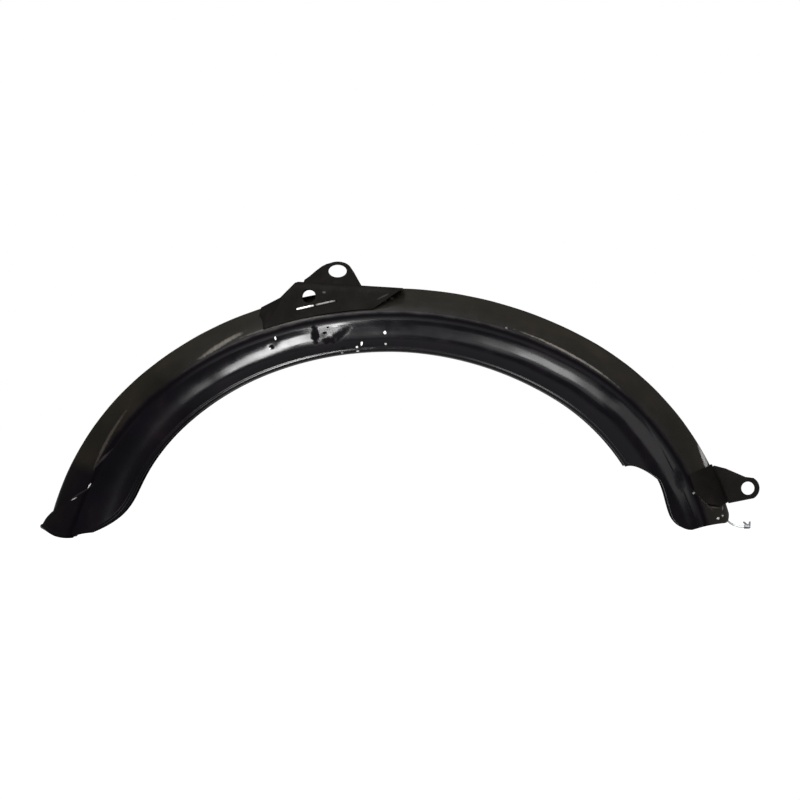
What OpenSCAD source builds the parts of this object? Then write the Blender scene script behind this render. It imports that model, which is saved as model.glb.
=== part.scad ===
// Rear fender of a small motorcycle: a deep pressed shell with a wired rim and a flared
// tail, a hollow saddle bracket with an ear on top, a lug in front and a short lead.
// X runs forward, Y across, Z up. The floor is z = 0 under the tail lip and the front end.

/* [Crown line] */
// Distance of the tail kink behind the origin
tail_back = 363.8; // [340:0.1:390]
// Height of the tail kink above the floor
tail_height = 28.3; // [20:0.1:60]
// Direction of the crown line at the kink, in degrees above the horizontal
tail_heading = 73.2; // [68:0.1:80]
// Radius of the first arc, at the tail
crown_r_tail = 293.5; // [260:0.5:340]
// Sweep of the first arc in degrees
crown_a_tail = 34; // [26:0.1:40]
// Radius of the second arc
crown_r_rear = 367; // [320:0.5:420]
// Sweep of the second arc in degrees
crown_a_rear = 19.6; // [12:0.1:26]
// Radius of the third arc, over the wheel
crown_r_top = 434.5; // [390:0.5:480]
// Sweep of the third arc in degrees
crown_a_top = 49.4; // [40:0.1:56]
// Radius of the last arc, at the front
crown_r_front = 308.5; // [270:0.5:350]
// Length of the crown line from the kink to the front edge
crown_length = 921.5; // [915:0.5:930]

/* [Section] */
// Thickness of the shell's sheet
sheet = 1.4; // [1:0.1:2.5]
// Half width at the shoulder, where the crown ends
shoulder_half = 48; // [44:0.5:54]
// Depth of the shoulder below the crown line
shoulder_depth = 24.5; // [18:0.5:30]
// Depth of the shoulder near the tail
shoulder_depth_tail = 31; // [24:0.5:36]
// Depth of the shoulder at the front end
shoulder_depth_front = 38; // [30:0.5:40]
// Height of the step under the shoulder
step = 2.2; // [1:0.1:4]
// Greatest half width of the sides
side_half = 60; // [56:0.5:70]
// Greatest half width at the front end
side_half_front = 56; // [54:0.5:66]
// Depth of the rim at its shallowest, over the wheel
rim_depth = 66.6; // [60:0.2:76]
// Depth of the rim at the tail kink
rim_depth_tail = 77.5; // [70:0.5:88]
// Depth of the rim, without the notch, at the front edge
rim_depth_front = 84; // [78:0.5:94]
// Radius of the wired edge along the rim and the tail
wire_r = 2.3; // [1.6:0.1:3.2]

/* [Tail] */
// How far the tail lip stands out at the middle
lip_rise = 8; // [5:0.5:12]
// How far the tail lip flares out at the sides
lip_side = 7; // [3:0.5:12]
// Length of the lip behind the kink
lip_length = 20.5; // [14:0.5:26]
// Station at which the creases of the tail meet the shoulders
crease_reach = 90; // [70:1:110]
// Height lost where the tail's corner is rounded off
tail_round = 28.5; // [22:0.5:34]
// Station at which the rounding starts
tail_round_reach = 76; // [60:1:90]

/* [Notch] */
// Station of the notch's sharp corner
notch_station = 806; // [790:1:820]
// Depth of the lower edge in the notch
notch_depth = 54.5; // [50:0.5:60]
// Run of the arc between the sharp corner and the notch's top
notch_run = 40; // [30:1:50]
// Depth of the lower edge of the front end
front_depth = 58.8; // [57:0.5:66]
// Length of the front end's rounded lower corner
front_round = 26; // [16:0.5:30]
// How much the front edge is cut back at the middle
front_cut = 9; // [4:0.5:14]

/* [Saddle bracket] */
// Station of the saddle bracket's middle
saddle_station = 380; // [360:1:410]
// Thickness of the saddle's sheet
saddle_sheet = 1.6; // [1.2:0.1:3]
// Height of the saddle's top above the crown at its rear corner
saddle_rise = 16.6; // [13:0.1:20]
// Slope of the saddle's top in degrees, downwards to the front
saddle_slope = 13.2; // [12.8:0.1:15]
// Distance from the middle back to the rear corner
saddle_rear = 21; // [16:0.5:26]
// Distance from the middle back to the rear toe
saddle_toe = 62; // [52:1:72]
// Diameter of the holes across the saddle
cross_hole_d = 14.4; // [10:0.2:16]
// Distance from the middle back to the cross holes
cross_hole_back = 10.7; // [6:0.1:14]
// Length of the raised rib on each flange
rib_length = 44; // [30:1:50]
// Width of the rib
rib_width = 2.6; // [2:0.1:2.8]
// Depth of the rib below the crown line
rib_depth = 11; // [9.5:0.5:13]

/* [Ear] */
// Thickness of the ear
ear_sheet = 3; // [2:0.1:5]
// Height of the ear's hole above the crown line
ear_height = 20.6; // [18:0.2:28]
// Distance of the ear's hole in front of the saddle's middle
ear_forward = 23.4; // [18:0.2:30]
// Length of the ear's oval hole
ear_hole_length = 19; // [13:0.2:20]
// Width of the ear's oval hole
ear_hole_d = 13; // [8:0.2:14]
// Metal left round the ends of the ear's hole
ear_margin = 5.4; // [4:0.2:8]

/* [Front lug] */
// Station of the lug's foot
lug_station = 879; // [868:1:888]
// Thickness of the lug
lug_sheet = 3; // [2:0.1:5]
// Thickness of the lug's foot
foot_sheet = 2; // [1.5:0.1:3]
// Half length of the foot along the crown
foot_half = 23.5; // [18:0.5:26]
// Distance of the lug's hole outside the crown line
lug_reach = 26.6; // [22:0.1:34]
// Distance of the lug's hole ahead of the foot's middle
lug_forward = 17.5; // [12:0.2:18]
// Diameter of the lug's hole
lug_hole_d = 13.8; // [9:0.2:14]
// Metal left round the lug's hole
lug_margin = 5.4; // [4.6:0.2:7]

/* [Lead] */
// Diameter of the lead
lead_d = 2; // [1.6:0.1:2.4]
// Diameter of the terminal's sleeve
sleeve_d = 4.2; // [3.8:0.2:4.8]
// Length of the terminal's sleeve
sleeve_length = 6; // [5:0.5:6.5]
// Thickness of the clip that holds the lead
clip_sheet = 1; // [0.8:0.1:1.6]

/* [Fits] */
// Clearance between a bracket and the shell that it is welded to
weld_gap = 0.3; // [0.2:0.05:0.5]

/* [Hidden] */
$fn = 64;

paint = [0.07, 0.07, 0.07];
bare = [0.55, 0.55, 0.56];
grey = [0.75, 0.76, 0.76];

// Four tangent arcs: radius and length of each, then the state at the start of each.
ARC_R = [crown_r_tail, crown_r_rear, crown_r_top, crown_r_front];
ARC_L = [for (q = [[crown_r_tail, crown_a_tail], [crown_r_rear, crown_a_rear],
                   [crown_r_top, crown_a_top]]) q[0] * q[1] * PI / 180];
ARC_S = [0, ARC_L[0], ARC_L[0] + ARC_L[1], ARC_L[0] + ARC_L[1] + ARC_L[2]];

// Goes a length along an arc of radius r from p = [x, z, heading].
function along(p, r, length) =
    let (h = p[2] - length / r * 180 / PI)
    [p[0] + r * (sin(p[2]) - sin(h)), p[1] - r * (cos(p[2]) - cos(h)), h];
function arc_start(i) = i == 0 ? [-tail_back, tail_height, tail_heading]
    : along(arc_start(i - 1), ARC_R[i - 1], ARC_L[i - 1]);
ARC_P = [for (i = [0:3]) arc_start(i)];

// Point and heading of the crown line at station s.
function crown(s) = let (i = s < ARC_S[1] ? 0 : s < ARC_S[2] ? 1 : s < ARC_S[3] ? 2 : 3)
    along(ARC_P[i], ARC_R[i], s - ARC_S[i]);
// The point at station s, half width y and depth d below the crown line.
function at(s, y, d) = let (p = crown(s)) [p[0] + d * sin(p[2]), y, p[1] - d * cos(p[2])];

function clamp01(t) = min(max(t, 0), 1);
function ease(t) = let (u = clamp01(t)) u * u * (3 - 2 * u);
function unit(v) = v / norm(v);

// Sizes of the section at station s.
rim_flat = [400, 460];
tail_blend = [230, 100];
front_blend = [720, 850];
function tailness(s) = ease((tail_blend[0] - s) / (tail_blend[0] - tail_blend[1]));
function frontness(s) = ease((s - front_blend[0]) / (front_blend[1] - front_blend[0]));
function shoulder_d(s) = shoulder_depth + (shoulder_depth_tail - shoulder_depth) * tailness(s)
    + (shoulder_depth_front - shoulder_depth) * frontness(s);
tail_widening = 5;
front_widening = 2;
function shoulder_y(s) = shoulder_half + tail_widening * tailness(s)
    + front_widening * frontness(s);
function step_h(s) = step * ease((s - crease_reach + 20) / 60) * (1 - 0.5 * frontness(s));
function side_w(s) = side_half + 0.5 * tail_widening * tailness(s)
    + (side_half_front - side_half) * frontness(s);
function rim_d(s) = s < rim_flat[0]
    ? rim_depth + (rim_depth_tail - rim_depth) * pow(1 - s / rim_flat[0], 1.8)
    : rim_depth + (rim_depth_front - rim_depth)
        * pow(max(0, (s - rim_flat[1]) / (crown_length - rim_flat[1])), 1.5);

// Lower edge of the shell: the rim, the rounded tail corner, the notch and the front end.
tail_corner = -10.5;
notch_top = notch_station + notch_run;
function notch_d(s) =
    s < notch_top
    ? notch_depth + (rim_d(notch_station) - notch_depth)
        * (1 - sqrt(1 - pow((notch_top - s) / notch_run, 2)) * 0.45
           - (1 - (notch_top - s) / notch_run) * 0.55)
    : notch_depth + (front_depth - notch_depth) * ease((s - notch_top) / 46);
front_side = crown_length - 3;
front_drop = front_depth - shoulder_depth_front - step / 2 - 0.4;
function front_low(s) = front_drop
    * (1 - sqrt(1 - pow(0.98 * clamp01((s - front_side + front_round) / front_round), 2)));
function lower_d(s) =
    s < tail_round_reach
    ? rim_d(s) - tail_round * pow((tail_round_reach - s) / (tail_round_reach - tail_corner), 3)
    : s <= notch_station ? rim_d(s) : notch_d(s) - front_low(s);

// Half width of the side at depth d: a parabola from the step to its widest point.
bulge_at = 0.64;
function side_y(s, d) =
    let (d0 = shoulder_d(s) + step_h(s), y0 = shoulder_y(s) + 0.2 * step_h(s),
         t = (d - d0) / (rim_d(s) - d0))
    side_w(s) - (side_w(s) - y0) * pow(t / bulge_at - 1, 2);

// Columns of the section from the middle of the crown to the lower edge. A column holds
// [zone, value]: 0 is a share of the crown's arc, 1 a share of the side's depth, and 2 a
// distance from the lower edge.
crown_cols = 8;
side_cols = 8;
wire_cols = [2, 1.6, 1, 0.4, 0];
HALF = [for (i = [0:crown_cols]) [0, i / crown_cols],
        for (i = [0:side_cols - 1]) [1, i / side_cols],
        for (e = wire_cols) [2, e * wire_r]];
COLS = [for (i = [len(HALF) - 1:-1:1]) [HALF[i][0], HALF[i][1], -1],
        for (c = HALF) [c[0], c[1], 1]];

// [y, d, angle of the normal] of a column at station s.
function section(s, c) =
    c[0] == 0
    ? let (ds = shoulder_d(s), ys = shoulder_y(s), r = (ys * ys + ds * ds) / (2 * ds),
           a = 2 * atan(ds / ys) * c[1])
      [c[2] * r * sin(a), r * (1 - cos(a)), c[2] * a]
    : let (d0 = shoulder_d(s) + step_h(s), low = lower_d(s) - 2 * wire_r,
           d = c[0] == 1 ? d0 + (low - d0) * c[1] : lower_d(s) - c[1],
           slope = side_y(s, d + 0.5) - side_y(s, d - 0.5))
      [c[2] * side_y(s, d), d, c[2] * (90 - atan(slope))];

// Tail: end edge and crease of a column, as stations, by the column's depth there.
end_bow = 4.5;
function tail_depth(c) = section(tail_corner, c)[1];
function end_s(c) = let (d = tail_depth(c))
    -lip_length - end_bow * ease(d / 16)
    + (lip_length + end_bow + tail_corner) * pow(clamp01((d - 18) / 31), 2);
function crease_s(c) = let (d = section(60, c)[1], f = clamp01(d / shoulder_depth_tail))
    crease_reach * (1 - pow(1 - f, 1 / 3.3)) + 15 * clamp01((d - shoulder_depth_tail) / 40);

// Rows of the grid. A row holds [zone, value]: 0 is a share of the lip from the end edge to
// the crease, 1 a share of the stretch from the crease to the first full section, 2 a station.
first_full = 130;
tail_rows = [0, 0.4, 1, 1.6, 2];
ROWS = [for (e = tail_rows) [3, e * wire_r],
        for (t = [0.08, 0.17, 0.28, 0.42, 0.58, 0.78]) [0, t],
        for (t = [0, 0.1, 0.35, 0.65]) [1, t],
        for (i = [0:27]) [2, first_full + (notch_station - first_full) * i / 28],
        [2, notch_station], [2, notch_station + 0.1],
        for (t = [0.06, 0.16, 0.28, 0.42, 0.58, 0.76, 1]) [2, notch_station + notch_run * t],
        for (t = [0.2, 0.42, 0.62, 0.74, 0.83, 0.9, 0.95, 0.98, 1]) [4, t]];

// Station of the front edge at a column, cut back at the middle.
cut_half = 26;
function front_s(c) = let (y = abs(section(front_side, c)[0]))
    crown_length + (front_side - crown_length) * clamp01((y - cut_half) / (48 - cut_half))
    - front_cut * (0.5 + 0.5 * cos(180 * clamp01(y / cut_half)));
// Station of a row at a column. The lip's share is 0 at the end edge and 1 at the crease.
function row_s(r, c) =
    r[0] == 2 ? r[1]
    : r[0] == 1 ? crease_s(c) + (first_full - crease_s(c)) * r[1]
    : r[0] == 0
    ? end_s(c) + 2 * wire_r + (crease_s(c) - end_s(c) - 2 * wire_r) * r[1]
    : r[0] == 3 ? end_s(c) + r[1]
    : notch_top + (front_s(c) - notch_top) * r[1];

// Middle surface of the sheet, with the lip's flare along the section's normal.
function flare(s, c) =
    let (t = clamp01((crease_s(c) - s) / (crease_s(c) - end_s(c))),
         side = ease(tail_depth(c) / shoulder_depth_tail),
         bend = 1.8 - 1.5 * side)
    (lip_rise + (lip_side - lip_rise) * side) * t * (bend + (1 - bend) * t);
function mid(r, c) =
    let (s = row_s(r, c), q = section(s, c), f = flare(s, c))
    at(s, q[0] + f * sin(q[2]), q[1] - f * cos(q[2]));

// Half thickness at a distance e from an edge: the sheet, or the wire rolled into it.
function wire_half(e) = e >= 2 * wire_r ? sheet / 2
    : max(sheet / 2, sqrt(max(0, wire_r * wire_r - pow(e - wire_r, 2))), wire_r * 0.3);
function half_sheet(r, c) =
    let (low = c[0] == 2 && (r[0] != 2 || r[1] <= notch_station) && r[0] != 4 ? c[1] : 99,
         end = r[0] == 3 ? r[1] : 99)
    wire_half(min(low, end));

// Closed sheet from a grid of points: skins offset outwards and inwards along the grid's
// normals by the two numbers of each point, joined along the four edges.
module sheet_solid(m, half) {
    nr = len(m);
    nc = len(m[0]);
    function normal(i, j) = unit(cross(
        m[i][min(j + 1, nc - 1)] - m[i][max(j - 1, 0)],
        m[max(i - 1, 0)][j] - m[min(i + 1, nr - 1)][j]));
    outer = [for (i = [0:nr - 1]) for (j = [0:nc - 1]) m[i][j] + normal(i, j) * half[i][j][0]];
    inner = [for (i = [0:nr - 1]) for (j = [0:nc - 1]) m[i][j] - normal(i, j) * half[i][j][1]];
    k = nr * nc;
    function quad(a, b, c, d) = [[a, b, c], [a, c, d]];
    faces = [
        for (i = [0:nr - 2]) for (j = [0:nc - 2]) each quad(
            i * nc + j, i * nc + j + 1, (i + 1) * nc + j + 1, (i + 1) * nc + j),
        for (i = [0:nr - 2]) for (j = [0:nc - 2]) each quad(
            k + i * nc + j, k + (i + 1) * nc + j, k + (i + 1) * nc + j + 1, k + i * nc + j + 1),
        for (i = [0:nr - 2]) each quad(
            i * nc, (i + 1) * nc, k + (i + 1) * nc, k + i * nc),
        for (i = [0:nr - 2]) each quad(
            i * nc + nc - 1, k + i * nc + nc - 1, k + (i + 1) * nc + nc - 1, (i + 1) * nc + nc - 1),
        for (j = [0:nc - 2]) each quad(j, k + j, k + j + 1, j + 1),
        for (j = [0:nc - 2]) each quad(
            (nr - 1) * nc + j, (nr - 1) * nc + j + 1, k + (nr - 1) * nc + j + 1,
            k + (nr - 1) * nc + j)];
    polyhedron(points = concat(outer, inner), faces = faces, convexity = 10);
}

// Moves children from the side view's (forward, outward) plane to a place on the crown line.
module on_crown(s) {
    p = crown(s);
    translate([p[0], 0, p[1]]) rotate([0, -p[2], 0]) children();
}
// Extrudes a side view outline across Y, centred on y.
module across(y, thickness) {
    translate([0, y + thickness / 2, 0]) rotate([90, 0, 0]) linear_extrude(thickness) children();
}

module shell() {
    color(paint) sheet_solid(
        [for (r = ROWS) [for (c = COLS) mid(r, c)]],
        [for (r = ROWS) [for (c = COLS) let (w = half_sheet(r, c))
            [w - sheet / 2, w + sheet / 2]]]);
}

// Crown as a ring of round section about the arc's centre, offset outwards by a distance.
module crown_ring(r, y, d, away) {
    section_r = (y * y + d * d) / (2 * d);
    translate([0, 0, -r]) rotate([90, 0, 0]) rotate_extrude($fn = 256)
        translate([r - section_r, 0]) circle(section_r + away, $fn = 96);
}
// Solid drum about the arc's centre, up to a distance from the crown line.
wide = 4 * side_half;
module drum(r, away) {
    translate([0, wide / 2, -r]) rotate([90, 0, 0]) cylinder(h = wide, r = r + away, $fn = 360);
}
// Half space beyond the plane through p with the outward normal n.
module beyond(p, n) {
    translate(p) rotate([0, acos(n[2] / norm(n)), atan2(n[1], n[0])])
        translate([-wide, -wide, 0]) cube([2 * wide, 2 * wide, wide]);
}

// Saddle: a bent sheet with a sloping top, two ribbed flanges and a nose that runs out to
// the rear.
saddle_half = shoulder_half;
saddle_corner = 7;
saddle_front = 88;
saddle_tan = tan(saddle_slope);
toe = [-saddle_toe, -3.6];
nose = [-saddle_toe + 21.5, 2.8];
nose_half = 24;
fold_top = [-saddle_rear - 5.6, saddle_rise - 1.8];
fold_low = [-saddle_toe - 4.8, -31.6];
flange_depth = shoulder_depth - 2.7;
function saddle_top(u) = saddle_rise - saddle_tan * (u + saddle_rear);

module saddle_form(inset, extra) {
    drop = inset * sqrt(1 + saddle_tan * saddle_tan);
    half = saddle_half - inset;
    corner = saddle_corner - inset;
    line = saddle_rise * cos(saddle_slope) - inset;
    fold = [fold_top[0], saddle_half, fold_top[1]];
    away = unit(cross([fold_low[0], saddle_half, fold_low[1]] - fold,
                      [toe[0], nose_half, toe[1]] - fold));
    difference() {
        intersection() {
            across(0, 2 * saddle_half + 2) polygon([
                [-saddle_rear + 2, saddle_top(-saddle_rear + 2) - drop],
                [-saddle_rear - 1.4 + inset / 2, saddle_rise - 1 - drop],
                [nose[0] + inset / 2, nose[1] - drop],
                [toe[0], toe[1] - drop],
                [toe[0] - 24, -60 - extra],
                [saddle_front - 110 + extra, -60 - extra],
                [saddle_front + extra, saddle_top(saddle_front + extra) - drop]]);
            translate([-saddle_rear, 0, 0]) rotate([0, saddle_slope, 0])
                rotate([90, 0, 90]) translate([0, 0, -wide]) linear_extrude(2 * wide) polygon([
                    [-half, -wide / 2],
                    for (a = [0:15:90])
                        [-half + corner * (1 - cos(a)), line - corner * (1 - sin(a))],
                    for (a = [90:-15:0])
                        [half - corner * (1 - cos(a)), line - corner * (1 - sin(a))],
                    [half, -wide / 2]]);
        }
        for (side = [0, 1]) mirror([0, side, 0]) beyond(fold - away * inset, away);
    }
}
// Under the nose the crown is taken as a straight rod. Farther forward it comes up through
// the saddle's top, where a plan outline is cut out for it.
nose_angle = 7.2;
bump = [[56, 0], [59, 6], [65, 11], [78, 16], [110, 19],
        [110, -19], [78, -16], [65, -11], [59, -6]];
module nose_bed() {
    section_r = (shoulder_half * shoulder_half + shoulder_depth * shoulder_depth)
        / (2 * shoulder_depth);
    translate([0, 0, -crown_r_top]) rotate([0, -nose_angle, 0])
        translate([-50, 0, crown_r_top - section_r]) rotate([0, 90, 0])
            cylinder(h = 72, r = section_r + weld_gap, $fn = 128);
}
// Rib pressed out of a flange: a round bar with round ends, most of it inside the sheet.
module rib(side) {
    r = rib_width / 2;
    half = rib_length / 2 - r;
    translate([-4, side * (saddle_half - saddle_sheet + r + 0.1), -rib_depth]) rotate([0, -2.7, 0]) {
        rotate([0, 90, 0]) cylinder(h = 2 * half, r = r, center = true, $fn = 32);
        for (e = [-half, half]) translate([e, 0, 0]) sphere(r, $fn = 32);
    }
}
module saddle() {
    color(paint) on_crown(saddle_station) union() {
        difference() {
            saddle_form(0, 0);
            saddle_form(saddle_sheet, 4);
            nose_bed();
            translate([0, 0, -side_half]) linear_extrude(2 * side_half) polygon(bump);
            drum(crown_r_top, -flange_depth);
            translate([-cross_hole_back, saddle_half + 1, -0.5]) rotate([90, 0, 0])
                cylinder(h = 2 * saddle_half + 2, d = cross_hole_d);
        }
        for (side = [-1, 1]) rib(side);
    }
}

// Ear: an upright plate on the saddle's top with an oval hole.
ear_tilt = 8.9;
ear_base = [-14, 45.6];
ear_centre = [ear_forward, ear_height];
function ear_oval(a, margin) = let (
    u = (ear_hole_length / 2 + margin) * cos(a),
    v = (ear_hole_d / 2 + margin * 0.66) * sin(a))
    ear_centre + [u * cos(ear_tilt) + v * sin(ear_tilt), v * cos(ear_tilt) - u * sin(ear_tilt)];
module ear() {
    left = [ear_base[0], saddle_top(ear_base[0])];
    color(paint) on_crown(saddle_station) across(0, ear_sheet) difference() {
        polygon([
            left, left + [1.5, 2.6],
            ear_centre + [-30.3, -0.4], ear_centre + [-22.2, 4.4],
            ear_centre + [-15.5, 7.8], ear_centre + [-10.5, 9.3],
            for (a = [118:-9:28]) ear_oval(a, ear_margin),
            ear_centre + [16.8, -4.1],
            [ear_base[1], saddle_top(ear_base[1])]]);
        polygon([for (a = [0:8:352]) ear_oval(a, 0)]);
    }
}

// Lug's foot: a curved plate that lies on the crown near the front end.
front_y = shoulder_half + front_widening;
module lug_foot() {
    color(paint) on_crown(lug_station) difference() {
        intersection() {
            crown_ring(crown_r_front, front_y, shoulder_depth_front, weld_gap + foot_sheet);
            across(0, 2 * front_y + 10) polygon([
                [-foot_half + 3, 12], [-foot_half + 3, -25.5], [-1, -27], [foot_half - 8.5, -20],
                [foot_half - 1, -8.5], [foot_half, 12]]);
        }
        crown_ring(crown_r_front, front_y, shoulder_depth_front, weld_gap);
    }
}

// Lug: an upright plate on the foot with a round hole.
lug_nose = lug_hole_d / 2 + lug_margin;
lug_centre = [lug_forward, lug_reach];
module lug() {
    color(paint) on_crown(lug_station) difference() {
        across(0, lug_sheet) polygon([
            [-foot_half + 5.3, -2], [-foot_half + 5.3, 3.4], [-foot_half + 12.9, 13.4],
            lug_centre + [-12, 2.2],
            for (a = [128:-11:7]) lug_centre + lug_nose * [cos(a), sin(a)],
            [foot_half, -2]]);
        drum(crown_r_front, 2 * weld_gap + foot_sheet);
        translate([lug_forward, lug_sheet, lug_reach]) rotate([90, 0, 0])
            cylinder(h = 2 * lug_sheet, d = lug_hole_d);
    }
}

// Clip inside the front end: a ring round the lead under a small tab.
clip_station = 888;
clip_depth = 4.6;
clip_gap = 0.3;
tab = [8, 8];
module clip() {
    color(bare) on_crown(clip_station) translate([0, 0, -clip_depth]) difference() {
        union() {
            rotate([0, 90, 0]) cylinder(h = tab[0], r = lead_d / 2 + clip_gap + clip_sheet,
                                        center = true);
            translate([-tab[0] / 2, -tab[1] / 2, clip_depth - sheet - 0.7 - clip_sheet])
                cube([tab[0], tab[1], clip_sheet]);
        }
        rotate([0, 90, 0]) cylinder(h = tab[0] + 2, r = lead_d / 2 + clip_gap, center = true);
    }
}

// Lead: a round tube swept along hand-placed points from the clip to the terminal.
LEAD = [[332, 0, 42.8], [333.5, 0, 38.8], [336.3, 0, 31], [338.7, 0, 23.2], [341, 0, 15.4],
        [344.2, 0, 8.8], [349.6, 0, 4.6], [355.6, 0, 2.6], [361, 0, 2.2], [365, 0, 2.2]];
lead_sides = 8;
lead_steps = 2;
function lead_at(i, f) = let (n = len(LEAD) - 1, a = LEAD[max(i - 1, 0)], b = LEAD[i],
    c = LEAD[min(i + 1, n)], d = LEAD[min(i + 2, n)])
    0.5 * (2 * b + (c - a) * f + (2 * a - 5 * b + 4 * c - d) * f * f
        + (3 * b - a - 3 * c + d) * f * f * f);
module lead() {
    n = len(LEAD) - 1;
    line = [for (i = [0:n - 1]) for (k = [0:lead_steps - 1]) lead_at(i, k / lead_steps), LEAD[n]];
    m = len(line);
    rings = [for (i = [0:m - 1])
        let (run = unit(line[min(i + 1, m - 1)] - line[max(i - 1, 0)]), over = cross(run, [0, 1, 0]))
        for (k = [0:lead_sides - 1]) let (a = 360 * k / lead_sides)
            line[i] + lead_d / 2 * (cos(a) * over + sin(a) * [0, 1, 0])];
    color(grey) polyhedron(points = rings, faces = [
        [for (k = [lead_sides - 1:-1:0]) k],
        for (i = [0:m - 2]) for (k = [0:lead_sides - 1])
            let (a = i * lead_sides + k, b = i * lead_sides + (k + 1) % lead_sides)
            each [[a, b + lead_sides, a + lead_sides], [a, b, b + lead_sides]],
        [for (k = [0:lead_sides - 1]) (m - 1) * lead_sides + k]], convexity = 4);
}

// Terminal: a sleeve on the lead's end and an open fork.
module terminal() {
    end = LEAD[len(LEAD) - 1];
    color(bare) translate([end[0] - 3.8, 0, end[2]]) difference() {
        union() {
            rotate([0, 90, 0]) cylinder(h = sleeve_length, d = sleeve_d);
            across(0, 1.8) polygon([
                [2.8, 0], [-1.2, 4.6], [0, 5.8], [4.6, 2.2], [5.4, 5.6], [7.2, 5.6],
                [6.8, -1.2], [5.4, -1.8]]);
        }
        translate([-1, 0, 0]) rotate([0, 90, 0]) cylinder(h = 5.2, r = lead_d / 2 + 0.25);
    }
}

shell();
saddle();
ear();
lug_foot();
lug();
clip();
lead();
terminal();
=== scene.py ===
import math

import bpy
import numpy as np
from mathutils import Matrix


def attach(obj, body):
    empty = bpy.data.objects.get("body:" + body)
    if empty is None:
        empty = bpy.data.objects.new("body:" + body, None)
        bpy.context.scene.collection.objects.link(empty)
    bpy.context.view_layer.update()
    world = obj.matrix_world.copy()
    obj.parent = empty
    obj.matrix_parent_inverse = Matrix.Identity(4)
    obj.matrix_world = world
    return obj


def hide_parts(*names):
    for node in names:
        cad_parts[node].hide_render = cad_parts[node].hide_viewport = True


# Frame, size on arrival and camera at the photograph's angle
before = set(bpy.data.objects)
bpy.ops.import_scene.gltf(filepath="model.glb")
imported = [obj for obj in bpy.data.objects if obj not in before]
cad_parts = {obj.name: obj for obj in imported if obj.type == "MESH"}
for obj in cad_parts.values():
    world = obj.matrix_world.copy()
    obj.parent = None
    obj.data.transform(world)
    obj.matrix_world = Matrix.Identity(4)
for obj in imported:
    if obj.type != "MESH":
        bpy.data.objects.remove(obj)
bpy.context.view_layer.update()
MM = 0.001
MM_IN_METRE = 1000.0

cam_data = bpy.data.cameras.new("camera")
cam_data.lens = 428.6
cam_data.sensor_width = 36.0
cam_data.clip_start = 0.1
cam_data.clip_end = 60.0
camera = bpy.data.objects.new("camera", cam_data)
camera.location = (0.0018, -10.0, 0.1399)
camera.rotation_euler = (math.pi / 2, 0.0129, 0.0)
bpy.context.collection.objects.link(camera)
bpy.context.scene.camera = camera

# Lead: the same points and curve as in the part, in metres
LEAD = np.array([
    [0.332, 0, 0.0428], [0.3335, 0, 0.0388], [0.3363, 0, 0.031], [0.3387, 0, 0.0232],
    [0.341, 0, 0.0154], [0.3442, 0, 0.0088], [0.3496, 0, 0.0046], [0.3556, 0, 0.0026],
    [0.361, 0, 0.0022], [0.365, 0, 0.0022]])
LEAD_RADIUS = 0.001
STEPS_PER_SPAN = 6


def lead_line():
    """Smooth curve through the lead's points."""
    last = len(LEAD) - 1
    out = []
    for i in range(last):
        a, b, c, d = LEAD[max(i - 1, 0)], LEAD[i], LEAD[i + 1], LEAD[min(i + 2, last)]
        for k in range(STEPS_PER_SPAN):
            f = k / STEPS_PER_SPAN
            out.append(0.5 * (2 * b + (c - a) * f + (2 * a - 5 * b + 4 * c - d) * f ** 2
                              + (3 * b - a - 3 * c + d) * f ** 3))
    out.append(LEAD[last])
    return np.array(out)


def mesh_object(name, co, faces):
    mesh = bpy.data.meshes.new(name)
    mesh.from_pydata(co, [], faces)
    obj = bpy.data.objects.new(name, mesh)
    bpy.context.collection.objects.link(obj)
    return obj


def tube(name, line, radius, sides=12):
    """A round bar along a line, with flat ends; the radius is one number or one per point."""
    n = len(line)
    radius = np.broadcast_to(radius, (n,))[:, None, None]
    ahead = np.gradient(line, axis=0)
    ahead /= np.linalg.norm(ahead, axis=1, keepdims=True)
    across = np.cross(ahead, [0.0, 1.0, 0.0])
    across /= np.linalg.norm(across, axis=1, keepdims=True)
    third = np.cross(ahead, across)
    turn = np.arange(sides) * 2 * math.pi / sides
    cos, sin = np.cos(turn)[None, :, None], np.sin(turn)[None, :, None]
    co = line[:, None] + radius * (cos * across[:, None] + sin * third[:, None])
    faces = []
    for i in range(n - 1):
        for k in range(sides):
            a, b = i * sides + k, i * sides + (k + 1) % sides
            faces.append([a, b, b + sides, a + sides])
    faces += [list(range(sides))[::-1], [(n - 1) * sides + k for k in range(sides)]]
    obj = mesh_object(name, co.reshape(-1, 3).tolist(), faces)
    obj.data.shade_smooth()
    return obj


line = lead_line()
lead = tube("lead_wire", line, LEAD_RADIUS)
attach(lead, "root")
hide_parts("lead")

# Crown line of the shell, as in the part's source: millimetres, first point and heading
# at the tail, then the radius and the angle of each arc
TAIL = (-363.8, 28.3, math.radians(73.2))
ARC_R = (293.5, 367.0, 434.5, 308.5)
ARC_L = tuple(r * math.radians(a) for r, a in zip(ARC_R, (34.0, 19.6, 49.4)))
ARC_S = (0.0, ARC_L[0], ARC_L[0] + ARC_L[1], sum(ARC_L))
LENGTH = 921.5

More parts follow.
